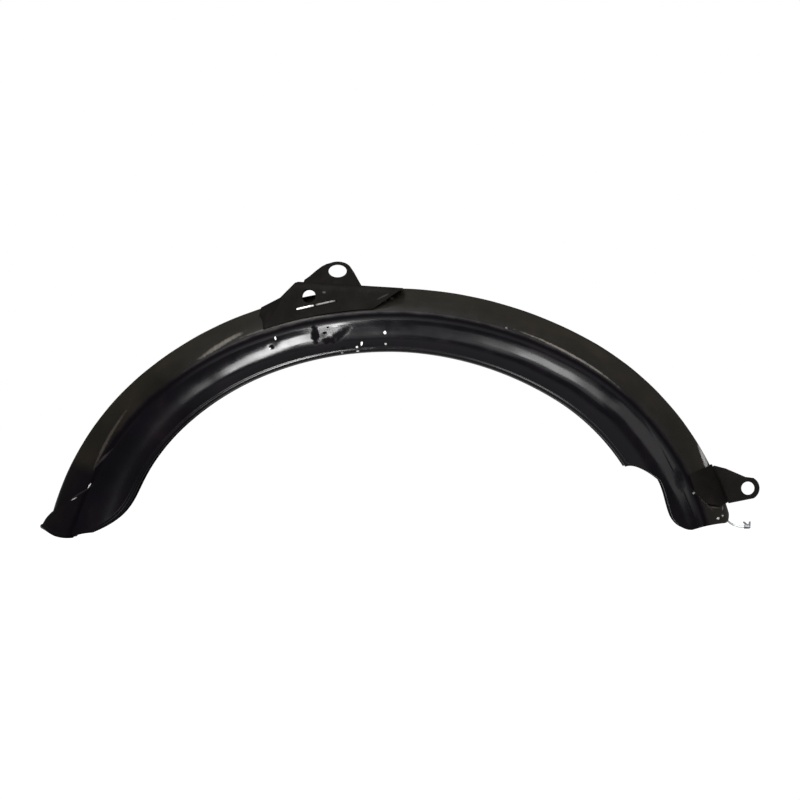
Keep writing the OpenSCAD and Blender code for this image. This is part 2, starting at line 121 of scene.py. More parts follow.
# Section of the shell: half widths, depths below the crown, and where they change along it
SHEET = 1.4
SHOULDER_HALF, SHOULDER_D, SHOULDER_D_TAIL, SHOULDER_D_FRONT = 48.0, 24.5, 31.0, 38.0
TAIL_WIDENING, FRONT_WIDENING = 5, 2
TAIL_BLEND, FRONT_BLEND = (230, 100), (720, 850)
STEP, STEP_LEAD_IN, STEP_RUN, STEP_FRONT_LOSS = 2.2, 20, 60, 0.5
SIDE, SIDE_TAIL_WIDENING, SIDE_FRONT = 60.0, 2.5, 56.0
BULGE_AT = 0.64
RIM, RIM_TAIL, RIM_FRONT = 66.6, 77.5, 84.0
RIM_FLAT, RIM_BEND_TAIL, RIM_BEND_FRONT = (400, 460), 1.8, 1.5
WIRE = 2.3

# Tail: flared lip, its crease, the round corner and the bow of the edge
LIP_RISE, LIP_SIDE, LIP = 8.0, 7.0, 20.5
CREASE, CREASE_BEND, CREASE_SIDE_RUN = 90.0, 3.3, 15
ROUND, ROUND_REACH = 28.5, 76.0
CORNER, BOW = -10.5, 4.5
FIRST_FULL = 130

# Front: notch in the side, round corner and the bent-in end
NOTCH, NOTCH_D, NOTCH_RUN = 806.0, 54.5, 40.0
NOTCH_TOP = NOTCH + NOTCH_RUN
NOTCH_ROUND, FRONT_RISE_RUN = 0.45, 46
FRONT_D, FRONT_ROUND = 58.8, 26.0
CUT, CUT_HALF, CUT_SIDE_RUN = 9.0, 26, 22
FRONT_SIDE = LENGTH - 3.0
FRONT_DROP = FRONT_D - SHOULDER_D_FRONT - STEP / 2 - 0.4


def step_along(x, z, h, r, run):
    h1 = h - run / r
    return x + r * (np.sin(h) - np.sin(h1)), z - r * (np.cos(h) - np.cos(h1)), h1


STARTS = [TAIL]
for r, run in zip(ARC_R[:3], ARC_L):
    STARTS.append(step_along(*STARTS[-1], r, run))


def crown(s):
    """x, z and heading of the crown line at station s."""
    s = np.asarray(s, float)
    x, z, h = np.zeros_like(s), np.zeros_like(s), np.zeros_like(s)
    edges = [-1e9, *ARC_S[1:], 1e9]
    for i in range(4):
        m = (s >= edges[i]) & (s < edges[i + 1])
        px, pz, ph = STARTS[i]
        x[m], z[m], h[m] = step_along(px, pz, ph, ARC_R[i], s[m] - ARC_S[i])
    return x, z, h


def at(s, y, d):
    """Point at station s, y across and d below the crown line."""
    x, z, h = crown(s)
    return np.stack([x + d * np.sin(h), y + 0 * x, z - d * np.cos(h)], -1)


def clamp(t):
    return np.clip(t, 0.0, 1.0)


def ease(t):
    u = clamp(t)
    return u * u * (3 - 2 * u)


def tailness(s):
    return ease((TAIL_BLEND[0] - s) / (TAIL_BLEND[0] - TAIL_BLEND[1]))


def frontness(s):
    return ease((s - FRONT_BLEND[0]) / (FRONT_BLEND[1] - FRONT_BLEND[0]))


def shoulder_d(s):
    return (SHOULDER_D + (SHOULDER_D_TAIL - SHOULDER_D) * tailness(s)
            + (SHOULDER_D_FRONT - SHOULDER_D) * frontness(s))


def shoulder_y(s):
    return SHOULDER_HALF + TAIL_WIDENING * tailness(s) + FRONT_WIDENING * frontness(s)


def step_h(s):
    """Height of the step under the shoulder."""
    rise = ease((s - CREASE + STEP_LEAD_IN) / STEP_RUN)
    return STEP * rise * (1 - STEP_FRONT_LOSS * frontness(s))


def side_w(s):
    return SIDE + SIDE_TAIL_WIDENING * tailness(s) + (SIDE_FRONT - SIDE) * frontness(s)


def rim_d(s):
    back, ahead = RIM_FLAT
    rear = RIM + (RIM_TAIL - RIM) * np.power(np.maximum(1 - s / back, 0), RIM_BEND_TAIL)
    share = np.maximum(0, (s - ahead) / (LENGTH - ahead))
    fore = RIM + (RIM_FRONT - RIM) * np.power(share, RIM_BEND_FRONT)
    return np.where(s < back, rear, fore)


def notch_d(s):
    q = clamp((NOTCH_TOP - s) / NOTCH_RUN)
    top = float(rim_d(np.array(NOTCH)))
    rise = 1 - np.sqrt(1 - q * q) * NOTCH_ROUND - (1 - q) * (1 - NOTCH_ROUND)
    near = NOTCH_D + (top - NOTCH_D) * rise
    beyond = NOTCH_D + (FRONT_D - NOTCH_D) * ease((s - NOTCH_TOP) / FRONT_RISE_RUN)
    return np.where(s < NOTCH_TOP, near, beyond)


def front_low(s):
    q = 0.98 * clamp((s - FRONT_SIDE + FRONT_ROUND) / FRONT_ROUND)
    return FRONT_DROP * (1 - np.sqrt(1 - q ** 2))


def lower_d(s):
    """Depth of the shell's lower edge."""
    share = np.maximum(ROUND_REACH - s, 0) / (ROUND_REACH - CORNER)
    tail = rim_d(s) - ROUND * np.power(share, 3)
    fore = np.where(s <= NOTCH, rim_d(s), notch_d(s) - front_low(s))
    return np.where(s < ROUND_REACH, tail, fore)


def side_y(s, d):
    """Half width of the bowed side at depth d."""
    d0 = shoulder_d(s) + step_h(s)
    y0 = shoulder_y(s) + 0.2 * step_h(s)
    t = (d - d0) / (rim_d(s) - d0)
    return side_w(s) - (side_w(s) - y0) * (t / BULGE_AT - 1) ** 2


# Zones of a column, from the crown's middle to the rim
ON_CROWN, ON_SIDE, ON_RIM = 0, 1, 2


def section(s, c):
    """y, depth and angle of the normal at station s of column c = (zone, value, side)."""
    s = np.asarray(s, float)
    zone, value, side = c
    if zone == ON_CROWN:
        ds, ys = shoulder_d(s), shoulder_y(s)
        r = (ys * ys + ds * ds) / (2 * ds)
        a = 2 * np.arctan(ds / ys) * value
        return side * r * np.sin(a), r * (1 - np.cos(a)), side * a
    d0 = shoulder_d(s) + step_h(s)
    low = lower_d(s) - 2 * WIRE
    d = d0 + (low - d0) * value if zone == ON_SIDE else lower_d(s) - value
    slope = side_y(s, d + 0.5) - side_y(s, d - 0.5)
    return side * side_y(s, d), d, side * (math.pi / 2 - np.arctan(slope))


def tail_depth(c):
    return float(section(CORNER, c)[1])


def end_s(c):
    """Station of the tail's edge in column c."""
    d = tail_depth(c)
    return (-LIP - BOW * ease(d / 16) + (LIP + BOW + CORNER) * clamp((d - 18) / 31) ** 2)


def crease_s(c):
    """Station of the crease in front of the lip in column c."""
    d = float(section(60.0, c)[1])
    f = clamp(d / SHOULDER_D_TAIL)
    return (CREASE * (1 - (1 - f) ** (1 / CREASE_BEND))
            + CREASE_SIDE_RUN * clamp((d - SHOULDER_D_TAIL) / 40))


def front_s(c):
    """Station of the front edge in column c."""
    y = abs(float(section(FRONT_SIDE, c)[0]))
    return (LENGTH + (FRONT_SIDE - LENGTH) * clamp((y - CUT_HALF) / CUT_SIDE_RUN)
            - CUT * (0.5 + 0.5 * math.cos(math.pi * clamp(y / CUT_HALF))))


# Grid of the skin: columns across and rows along, closer at the wire and at the bends
CROWN_COLS, SIDE_COLS, LIP_ROWS, CREASE_ROWS, LONG_ROWS, NOTCH_ROWS = 26, 26, 26, 18, 230, 20
WIRE_E = [2, 1.85, 1.6, 1.3, 1.0, 0.7, 0.45, 0.25, 0.1, 0]
HALF = [(ON_CROWN, i / CROWN_COLS) for i in range(CROWN_COLS)] + [(ON_CROWN, 0.99), (ON_CROWN, 1.0)]
HALF += [(ON_SIDE, 0.0), (ON_SIDE, 0.012)] + [(ON_SIDE, i / SIDE_COLS) for i in range(1, SIDE_COLS)]
HALF += [(ON_RIM, e * WIRE) for e in WIRE_E]
COLS = [(z, v, -1) for z, v in HALF[:0:-1]] + [(z, v, 1) for z, v in HALF]

# Zones of a row, from the tail's wire to the front end
LIP_ZONE, CREASE_ZONE, LONG_ZONE, END_WIRE, FRONT_ZONE = 0, 1, 2, 3, 4
ROWS = [(END_WIRE, e * WIRE) for e in WIRE_E[::-1]]
ROWS += [(LIP_ZONE, (i / LIP_ROWS) ** 1.3) for i in range(1, LIP_ROWS)] + [(LIP_ZONE, 0.985)]
ROWS += [(CREASE_ZONE, 0.0), (CREASE_ZONE, 0.02)]
ROWS += [(CREASE_ZONE, i / CREASE_ROWS) for i in range(1, CREASE_ROWS)]
ROWS += [(LONG_ZONE, FIRST_FULL + (NOTCH - FIRST_FULL) * i / LONG_ROWS) for i in range(LONG_ROWS)]
ROWS += [(LONG_ZONE, NOTCH), (LONG_ZONE, NOTCH + 0.1)]
ROWS += [(LONG_ZONE, NOTCH + NOTCH_RUN * (i / NOTCH_ROWS) ** 1.2) for i in range(1, NOTCH_ROWS + 1)]
ROWS += [(FRONT_ZONE, t) for t in np.linspace(0.04, 0.62, 14)]
ROWS += [(FRONT_ZONE, t) for t in np.linspace(0.66, 1, 18)]


def row_s(row, c):
    """Station of a row in column c."""
    zone, value = row
    if zone == LONG_ZONE:
        return value
    if zone == CREASE_ZONE:
        return crease_s(c) + (FIRST_FULL - crease_s(c)) * value
    if zone == LIP_ZONE:
        return end_s(c) + 2 * WIRE + (crease_s(c) - end_s(c) - 2 * WIRE) * value
    if zone == END_WIRE:
        return end_s(c) + value
    return NOTCH_TOP + (front_s(c) - NOTCH_TOP) * value


def flare(s, c):
    """How far the lip stands out from the section."""
    t = clamp((crease_s(c) - s) / (crease_s(c) - end_s(c)))
    side = ease(tail_depth(c) / SHOULDER_D_TAIL)
    bend = 1.8 - 1.5 * side
    return (LIP_RISE + (LIP_SIDE - LIP_RISE) * side) * t * (bend + (1 - bend) * t)


def wire_half(e):
    """Half thickness at distance e from a wired edge."""
    e = np.asarray(e, float)
    round_half = np.sqrt(np.maximum(0, WIRE * WIRE - (e - WIRE) ** 2))
    near = np.maximum(np.maximum(SHEET / 2, round_half), WIRE * 0.3)
    return np.where(e >= 2 * WIRE, SHEET / 2, near)


# Dents on the near side: run, depth below the crown, half sizes and height, in millimetres
DENTS = [(317, 41, 5, 4, -0.25), (380, 43, 6, 5, -0.15), (856, 36, 12, 7, -0.4),
         (57, 14, 3, 16, -0.3), (96, 20, 30, 2.5, 0.25), (84, 27, 20, 2.5, 0.2)]
FAR_FROM_EDGE, INSET = 99.0, 20


def ripple(s, d, side):
    """Small waves and dents that old pressed sheet shows in its reflections, in millimetres."""
    wave = (0.06 * np.sin(s / 23.0 + 1.3 * side) * np.sin(d / 15.0 + 0.4)
            + 0.05 * np.sin(s / 11.0 + d / 9.0 + 2.0 * side)
            + 0.03 * np.sin(s / 6.3 - d / 7.0))
    if side < 0:
        for s0, d0, rs, rd, h in DENTS:
            wave = wave + h * np.exp(-((s - s0) / rs) ** 2 - ((d - d0) / rd) ** 2)
    return wave


def skin_faces(nr, nc):
    """Quads of both sides of the sheet and of its four edges."""
    k = nr * nc
    i, j = np.meshgrid(np.arange(nr - 1), np.arange(nc - 1), indexing="ij")
    a = (i * nc + j).ravel()
    faces = [np.stack([a, a + nc, a + nc + 1, a + 1], 1),
             np.stack([k + a, k + a + 1, k + a + nc + 1, k + a + nc], 1)]
    i = np.arange(nr - 1) * nc
    faces.append(np.stack([i, k + i, k + i + nc, i + nc], 1))
    i = i + nc - 1
    faces.append(np.stack([i, i + nc, k + i + nc, k + i], 1))
    j = np.arange(nc - 1)
    faces.append(np.stack([j, j + 1, k + j + 1, k + j], 1))
    j = j + (nr - 1) * nc
    faces.append(np.stack([j, k + j, k + j + 1, j + 1], 1))
    return np.concatenate(faces).tolist()


def has_wire(row):
    zone, value = row
    return not (zone == FRONT_ZONE or (zone == LONG_ZONE and value > NOTCH))


def build_shell():
    """The shell's skin, with run and depth in its UV layer for the paint."""
    nr, nc = len(ROWS), len(COLS)
    mid = np.zeros((nr, nc, 3))
    half = np.zeros((nr, nc))
    wave = np.zeros((nr, nc))
    place = np.zeros((nr, nc, 2))
    end_edge = np.array([r[1] if r[0] == END_WIRE else FAR_FROM_EDGE for r in ROWS])
    wired = np.array([has_wire(r) for r in ROWS])
    for j, c in enumerate(COLS):
        s = np.array([row_s(r, c) for r in ROWS])
        y, d, a = section(s, c)
        place[:, j, 0], place[:, j, 1] = s, -c[2] * d
        f = flare(s, c)
        mid[:, j] = at(s, y + f * np.sin(a), d - f * np.cos(a))
        edge = end_edge
        if c[0] == ON_RIM:
            edge = np.minimum(edge, np.where(wired, c[1], FAR_FROM_EDGE))
        half[:, j] = wire_half(edge)
        inset = (ease(np.minimum(lower_d(s) - d, s - end_s(c)) / INSET)
                 * ease((front_s(c) - s) / INSET))
        wave[:, j] = ripple(s, d, c[2]) * inset
    up = np.minimum(np.arange(nr) + 1, nr - 1)
    down = np.maximum(np.arange(nr) - 1, 0)
    right = np.minimum(np.arange(nc) + 1, nc - 1)
    left = np.maximum(np.arange(nc) - 1, 0)
    normal = np.cross(mid[:, right] - mid[:, left], mid[down] - mid[up])
    normal /= np.linalg.norm(normal, axis=2, keepdims=True)
    mid = mid + normal * wave[..., None]
    outer = mid + normal * (half - SHEET / 2)[..., None]
    inner = mid - normal * (half + SHEET / 2)[..., None]
    co = np.concatenate([outer.reshape(-1, 3), inner.reshape(-1, 3)]) * MM
    obj = mesh_object("fender_skin", co.tolist(), skin_faces(nr, nc))
    mesh = obj.data
    mesh.shade_smooth()
    corner = np.zeros(len(mesh.loops), dtype=np.int32)
    mesh.loops.foreach_get("vertex_index", corner)
    layer = mesh.uv_layers.new(name="run_and_depth")
    uv = (place.reshape(-1, 2)[corner % (nr * nc)] * MM).astype(np.float32)
    layer.data.foreach_set("uv", uv.ravel())
    return obj


# Node materials
def node_material(name):
    m = bpy.data.materials.new(name)
    m.use_nodes = True
    nt = m.node_tree
    nt.nodes.clear()
    out = nt.nodes.new("ShaderNodeOutputMaterial")
    bsdf = nt.nodes.new("ShaderNodeBsdfPrincipled")
    nt.links.new(bsdf.outputs[0], out.inputs[0])
    return m, nt, bsdf


def noise(nt, scale, detail=4.0):
    coord = nt.nodes.new("ShaderNodeTexCoord")
    n = nt.nodes.new("ShaderNodeTexNoise")
    n.inputs["Scale"].default_value = scale
    n.inputs["Detail"].default_value = detail
    n.inputs["Roughness"].default_value = 0.55
    nt.links.new(coord.outputs["Object"], n.inputs["Vector"])
    return n.outputs["Fac"]


def ramp(nt, value, stops):
    """Colour ramp over a value; a stop is a position and a red, green and blue."""
    r = nt.nodes.new("ShaderNodeValToRGB")
    r.color_ramp.elements[0].position = stops[0][0]
    r.color_ramp.elements[0].color = (*stops[0][1], 1)
    r.color_ramp.elements[1].position = stops[-1][0]
    r.color_ramp.elements[1].color = (*stops[-1][1], 1)
    for pos, col in stops[1:-1]:
        e = r.color_ramp.elements.new(pos)
        e.color = (*col, 1)
    nt.links.new(value, r.inputs["Fac"])
    return r.outputs["Color"]


def mottled(nt, scale, dark, middle, light):
    return ramp(nt, noise(nt, scale), [(0.3, dark), (0.55, middle), (0.75, light)])


def grained(nt, scale, dark, light):
    return ramp(nt, noise(nt, scale), [(0.3, dark), (0.7, light)])


def spread(nt, value, low, high, out_low, out_high):
    """The value, mapped from low and high to out_low and out_high and held between them."""
    r = nt.nodes.new("ShaderNodeMapRange")
    limits = (("From Min", low), ("From Max", high), ("To Min", out_low), ("To Max", out_high))
    for name, v in limits:
        r.inputs[name].default_value = v
    nt.links.new(value, r.inputs["Value"])
    return r.outputs["Result"]


def math_node(nt, operation, *values):
    m = nt.nodes.new("ShaderNodeMath")
    m.operation = operation
    for socket, v in zip(m.inputs, values):
        if isinstance(v, (int, float)):
            socket.default_value = v
        else:
            nt.links.new(v, socket)
    return m.outputs[0]


def blend(nt, share, a, b):
    """Colour a where the share is 0 and b where it is 1."""
    m = nt.nodes.new("ShaderNodeMix")
    m.data_type = "RGBA"
    nt.links.new(share, m.inputs[0])
    for socket, v in ((m.inputs[6], a), (m.inputs[7], b)):
        if isinstance(v, tuple):
            socket.default_value = (*v, 1)
        else:
            nt.links.new(v, socket)
    return m.outputs[2]


def between(nt, share, a, b):
    """Number a where the share is 0 and b where it is 1."""
    return math_node(nt, "MULTIPLY_ADD", share, math_node(nt, "SUBTRACT", b, a), a)


def bump(nt, bsdf, value, strength, distance):
    b = nt.nodes.new("ShaderNodeBump")
    b.inputs["Strength"].default_value = strength
    b.inputs["Distance"].default_value = distance
    nt.links.new(value, b.inputs["Height"])
    nt.links.new(b.outputs["Normal"], bsdf.inputs["Normal"])


def patches(nt, u, v, items, rag):
    """Greatest of several soft ovals: centre, half sizes, turn in degrees, edge, weight."""
    total = None
    for u0, v0, ru, rv, turn, edge, weight in items:
        c, w = math.cos(math.radians(turn)), math.sin(math.radians(turn))
        p = math_node(nt, "MULTIPLY_ADD", v, w / ru, -(c * u0 + w * v0) / ru)
        p = math_node(nt, "MULTIPLY_ADD", u, c / ru, p)
        q = math_node(nt, "MULTIPLY_ADD", v, c / rv, (w * u0 - c * v0) / rv)
        q = math_node(nt, "MULTIPLY_ADD", u, -w / rv, q)
        far = math_node(nt, "MULTIPLY_ADD", q, q, math_node(nt, "MULTIPLY_ADD", p, p, rag))
        one = spread(nt, far, 1 - edge, 1 + edge, weight, 0.0)
        total = one if total is None else math_node(nt, "MAXIMUM", total, one)
    return total


# Marks on the near side, by run from the tail and depth below the crown, in millimetres; some are
# painted highlights, a painted reflection and painted shade
# Light grey spots: bare chips, except (20.3, 17) and (40.5, 27), which are painted highlights on
# the tail's crease, and (847, 0.8), a painted reflection along the crown's top edge by the lug
CHIPS_AND_GLINTS = [(323, 33.5, 0.9, 1.6, 0, 0.5, 0.9), (313.5, 42, 1.0, 0.8, 0, 0.5, 0.5),
         (421, 56, 1.2, 2.0, 20, 0.5, 0.9), (415, 59.2, 1.3, 1.0, 0, 0.5, 0.7),
         (415.5, 63, 1.8, 0.6, 0, 0.5, 0.4), (396, 63, 1.6, 0.6, 0, 0.6, 0.2),
         (449, 45.5, 1.5, 1.6, 0, 0.5, 0.8), (450, 57.5, 1.2, 1.1, 0, 0.5, 0.35),
         (457, 9.5, 1.4, 1.2, 0, 0.6, 0.06), (449.5, 12, 1.6, 1.0, 0, 0.6, 0.07),
         (585.5, 22, 1.1, 1.0, 0, 0.5, 0.1), (392, 35, 3, 0.7, 10, 0.5, 0.3),
         (20.3, 17, 3.2, 0.5, 42, 0.6, 0.3), (40.5, 27, 3.0, 0.6, 6, 0.6, 0.5),
         (913, 6.6, 1.1, 1.0, 0, 0.5, 0.35), (914.3, 12.2, 1.2, 1.4, 0, 0.5, 0.45),
         (878, 27.5, 1.2, 1.3, 0, 0.5, 0.16), (905, 4, 2.5, 0.8, 20, 0.6, 0.12),
         (847, 0.8, 13, 2.2, 10, 0.9, 0.4)]
# Light streaks: (263, 18.6) is a painted reflection on the crown; (338, 21.6) and (661, 22) are
# painted highlights along the shoulder's edge; (98, 19.6), (76, 26.5) and (30, 22) are painted
# highlights on the ridges and crease at the tail; the last two lighten a curved line near the lug's
# foot
LIGHT_STREAKS = [(263, 18.6, 24, 2.0, -5, 0.9, 0.42), (338, 21.6, 42, 0.9, 1, 0.9, 0.28),
          (661, 22, 50, 1.0, 1, 0.9, 0.5), (98, 19.6, 32, 1.4, -6, 0.9, 0.12),
          (76, 26.5, 12, 1.2, 12, 0.9, 0.08), (30, 22, 14, 0.6, 36, 0.8, 0.06),
          (889, 21.5, 14, 0.9, -22, 0.8, 0.2), (902, 11.5, 7, 0.9, -68, 0.8, 0.2)]
# Dark matt spots; the last, at 855, darkens the dent at 856 as painted shade
SCABS_AND_DENT_SHADE = [(316, 41, 3.0, 2.8, 0, 0.4, 1), (368, 40, 4.6, 11, 6, 0.5, 1),
         (379, 40, 2.6, 1.3, 10, 0.4, 1), (384, 35, 1.1, 0.8, 0, 0.4, 1),
         (397, 44, 14, 4.2, -24, 0.7, 0.9), (384, 49, 12, 4, 0, 0.6, 0.95),
         (398, 59, 3, 2, 0, 0.5, 0.8), (429, 60, 5, 2.5, 0, 0.5, 0.6),
         (855, 34, 13, 4.5, 16, 0.9, 0.85)]

# Marks on the brackets, by their place in the frame in millimetres; the rib's marks are bare metal
# and a painted highlight
RIB_BARE_AND_HIGHLIGHT = [(-97.4, 236.2, 11, 4, 12, 0.25, 1), (-75, 241, 9.5, 4, 12, 0.4, 0.2)]
BRACKET_MARKS = [(-76, 253.5, 1.5, 1.1, 0, 0.6, 0.04), (-14, 248.5, 6, 0.8, 25, 0.8, 0.02)]

# Light grey of bare metal, also used for painted highlights and a painted reflection
BARE_AND_GLINT_GREY = (0.42, 0.41, 0.40)
# Grey of the light streaks, mostly painted highlights
STREAK_GREY = (0.075, 0.068, 0.060)
# Near black of the dark matt spots, also the painted shade in the crease under the shoulder
DIRT_AND_CREASE_SHADE = (0.0010, 0.0008, 0.0011)


def paint_material():
    """Gloss black sides under a matt crown, with the marks of use, painted highlights and painted
    shade.
    """
    m, nt, bsdf = node_material("black_paint")
    uv = nt.nodes.new("ShaderNodeUVMap")
    uv.uv_map = "run_and_depth"
    split = nt.nodes.new("ShaderNodeSeparateXYZ")
    nt.links.new(uv.outputs[0], split.inputs[0])
    run = math_node(nt, "MULTIPLY", split.outputs[0], MM_IN_METRE)
    depth = math_node(nt, "MULTIPLY_ADD", split.outputs[1], MM_IN_METRE, -1.3)
    down = math_node(nt, "ABSOLUTE", depth)
    fine = noise(nt, 260.0)
    rag = spread(nt, fine, 0.3, 0.7, -0.55, 0.55)
    edge = math_node(nt, "MULTIPLY_ADD", noise(nt, 60.0), 5.0, down)
    side = spread(nt, edge, 24.5, 28.5, 0.0, 1.0)
    # Painted shade: a dark matt band along the crease under the shoulder step
    crease = math_node(nt, "ABSOLUTE", math_node(nt, "SUBTRACT", down, 26.0))
    crease = math_node(nt, "MULTIPLY", side, spread(nt, crease, 2.0, 7.0, 1.0, 0.0))
    lip_edge = math_node(nt, "MULTIPLY_ADD", noise(nt, 60.0), 4.0, run)
    lip = spread(nt, lip_edge, 53.0, 64.0, 1.0, 0.0)
    gloss = math_node(nt, "MAXIMUM", side, math_node(nt, "MULTIPLY", lip, 0.9))
    # Crown colour: mottled dust, lighter at the top and darker towards the shoulder, for dust on
    # top and painted light falling from above
    dusty = mottled(nt, 26.0, (0.0038, 0.0036, 0.0027), (0.0052, 0.0046, 0.0035),
                    (0.0068, 0.0055, 0.0043))
    low_crown_dust_and_shade = mottled(nt, 26.0, (0.0019, 0.0017, 0.0014), (0.0026, 0.0023, 0.0019),
                       (0.0037, 0.0029, 0.0025))
    dusty = blend(nt, spread(nt, down, 1.0, 22.0, 0.0, 1.0), dusty, low_crown_dust_and_shade)
    deep = mottled(nt, 18.0, (0.0008, 0.0008, 0.0010), (0.0013, 0.0011, 0.0015),
                   (0.0026, 0.0018, 0.0021))
    colour = blend(nt, gloss, dusty, deep)
    # Bare chips, with painted highlights and a painted reflection
    chips_and_glints = patches(nt, run, depth, CHIPS_AND_GLINTS, rag)
    # Light streaks, mostly painted highlights and a painted reflection
    streaks = patches(nt, run, depth, LIGHT_STREAKS, rag)
    # Dark matt spots, with painted shade in the crease and in the dent at 856
    scabs_and_shade = math_node(nt, "MAXIMUM", crease, patches(nt, run, depth, SCABS_AND_DENT_SHADE, rag))
    colour = blend(nt, scabs_and_shade, colour, DIRT_AND_CREASE_SHADE)
    colour = blend(nt, streaks, colour, STREAK_GREY)
    colour = blend(nt, chips_and_glints, colour, BARE_AND_GLINT_GREY)
    nt.links.new(colour, bsdf.inputs["Base Color"])
    shine = spread(nt, noise(nt, 60.0), 0.3, 0.75, 0.11, 0.19)
    matt = spread(nt, noise(nt, 90.0), 0.3, 0.75, 0.40, 0.52)
    tail_dust = spread(nt, run, 170.0, 240.0, 0.15, 0.0)
    rough = math_node(nt, "ADD", between(nt, gloss, matt, shine), tail_dust)
    # Chips, streaks, dark spots and the painted highlights and shade all turn matt
    marks_and_painted_light = math_node(nt, "MAXIMUM", math_node(nt, "MAXIMUM", chips_and_glints, scabs_and_shade), streaks)
    nt.links.new(between(nt, marks_and_painted_light, rough, 0.75), bsdf.inputs["Roughness"])
    clean = spread(nt, run, 185.0, 250.0, 0.12, 1.0)
    clean = math_node(nt, "MULTIPLY", clean, spread(nt, scabs_and_shade, 0.0, 1.0, 0.09, 0.01))
    nt.links.new(clean, bsdf.inputs["Specular IOR Level"])
    bump(nt, bsdf, noise(nt, 420.0, 3.0), 0.08, 0.00006)
    return m


def bracket_material():
    """Dusty matt black; the rib on each flange is painted light grey, for bare metal and a painted
    highlight along its crest.
    """
    m, nt, bsdf = node_material("dusty_black_paint")
    coord = nt.nodes.new("ShaderNodeTexCoord")
    split = nt.nodes.new("ShaderNodeSeparateXYZ")
    nt.links.new(coord.outputs["Object"], split.inputs[0])
    x = math_node(nt, "MULTIPLY", split.outputs[0], MM_IN_METRE)
    z = math_node(nt, "MULTIPLY", split.outputs[2], MM_IN_METRE)
    out = math_node(nt, "ABSOLUTE", split.outputs[1])
    rag = spread(nt, noise(nt, 260.0), 0.3, 0.7, -0.5, 0.5)
    proud = spread(nt, out, 0.0486, 0.0490, 0.0, 1.0)
    rib_bare_and_highlight = math_node(nt, "MULTIPLY", proud, patches(nt, x, z, RIB_BARE_AND_HIGHLIGHT, rag))
    marks = patches(nt, x, z, BRACKET_MARKS, rag)
    dusty = mottled(nt, 40.0, (0.0012, 0.0010, 0.0009), (0.0020, 0.0017, 0.0015),
                    (0.0038, 0.0030, 0.0027))
    light = math_node(nt, "MAXIMUM", rib_bare_and_highlight, marks)
    nt.links.new(blend(nt, light, dusty, BARE_AND_GLINT_GREY), bsdf.inputs["Base Color"])
    nt.links.new(spread(nt, noise(nt, 90.0), 0.3, 0.75, 0.7, 0.85), bsdf.inputs["Roughness"])
    bsdf.inputs["Specular IOR Level"].default_value = 0.03
    bump(nt, bsdf, noise(nt, 420.0, 3.0), 0.12, 0.0002)
    return m


def painted_rim_shade(nt, colour, dark):
    """The colour, darker where the surface turns away from the eye: painted shade at the rims."""
    turn = nt.nodes.new("ShaderNodeLayerWeight")
    turn.inputs["Blend"].default_value = 0.5
    return blend(nt, spread(nt, turn.outputs["Facing"], 0.2, 0.75, 0.0, 1.0), colour, dark)


def metal_material():
    m, nt, bsdf = node_material("bare_metal")
    colour = grained(nt, 300.0, (0.03, 0.03, 0.03), (0.14, 0.14, 0.15))
    nt.links.new(painted_rim_shade(nt, colour, (0.01, 0.01, 0.01)), bsdf.inputs["Base Color"])
    bsdf.inputs["Metallic"].default_value = 0.9
    nt.links.new(spread(nt, noise(nt, 700.0), 0.3, 0.7, 0.3, 0.55), bsdf.inputs["Roughness"])
    bump(nt, bsdf, noise(nt, 1500.0), 0.2, 0.0002)
    return m


def cover_material():
    m, nt, bsdf = node_material("light_lead_cover")
    colour = grained(nt, 400.0, (0.22, 0.23, 0.23), (0.34, 0.36, 0.36))
    nt.links.new(painted_rim_shade(nt, colour, (0.03, 0.035, 0.035)), bsdf.inputs["Base Color"])
    nt.links.new(spread(nt, noise(nt, 500.0), 0.3, 0.7, 0.6, 0.8), bsdf.inputs["Roughness"])
    bsdf.inputs["Specular IOR Level"].default_value = 0.1
    return m


def wear(obj, material):
    obj.data.materials.clear()
    obj.data.materials.append(material)


# Weld beads at the lug: station and run of the lug's foot, and the foot plate's top
LUG_STATION, LUG_RUN, FOOT_TOP = 879.0, (-17.5, 22.5), 2.3
BEAD_POINTS, BEAD_RADIUS, BEAD_LIFT = 60, 0.0012, 0.35


def weld_bead(name, y):
    """Uneven bead along the foot of the lug."""
    k = np.arange(BEAD_POINTS)
    run = LUG_STATION + np.linspace(*LUG_RUN, BEAD_POINTS)
    swell = 0.85 + 0.15 * np.sin(k * 1.9) + 0.1 * np.sin(k * 0.7 + y)
    return tube(name, at(run, y, -FOOT_TOP - BEAD_LIFT) * MM, BEAD_RADIUS * swell)


metal, cover, bracket = metal_material(), cover_material(), bracket_material()
shell = build_shell()
wear(shell, paint_material())
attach(shell, "root")
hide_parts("shell")
for name in ("saddle", "ear", "lug_foot", "lug"):
    wear(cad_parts[name], bracket)
for name, y in (("lug_weld_near", -1.7), ("lug_weld_far", 1.7)):
    bead = weld_bead(name, y)
    wear(bead, bracket)
    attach(bead, "root")
for name in ("clip", "terminal"):
    wear(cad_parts[name], metal)
wear(lead, cover)

# Stage: pale floor and soft studio light
FLOOR_HALF = 40.0
LAMP_DISTANCE = 1.9
# Dome: share of the way from the camera's side to the far side, and its colour
DOME = [(0.0, (0.10, 0.10, 0.11)), (0.34, (0.10, 0.10, 0.11)), (0.44, (0.30, 0.29, 0.27)),
        (0.5, (0.36, 0.34, 0.31)), (0.75, (0.24, 0.23, 0.21)), (0.93, (0.07, 0.07, 0.065)),
        (1.0, (0.05, 0.05, 0.05))]
